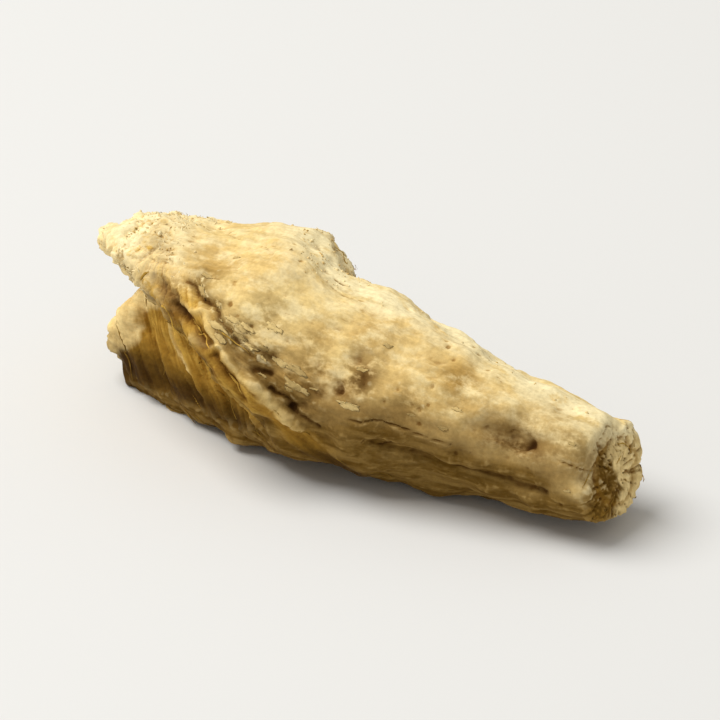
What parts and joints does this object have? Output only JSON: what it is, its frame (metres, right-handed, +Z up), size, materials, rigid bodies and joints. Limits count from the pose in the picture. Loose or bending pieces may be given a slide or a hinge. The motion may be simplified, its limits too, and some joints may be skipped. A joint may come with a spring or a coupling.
{
  "type": "dried root piece",
  "caption": "Stout tapering chunk of dried root lying on its side: wrinkled skin, split back, ragged lip at the thick end over a torn front with fanning fibres, cut thin end.",
  "frame": {"origin": "centre of the bounding box at the level of the flat foot it lies on", "axes": "+X along the root from the thick broken end to the thin cut end, -Y towards the torn front, +Z up"},
  "size_m": [0.022, 0.0088, 0.0077],
  "materials": {
    "dried_root": "matte, fibrous"
  },
  "bodies": {
    "root": {"root_piece": "dried_root"}
  },
  "joints": []
}
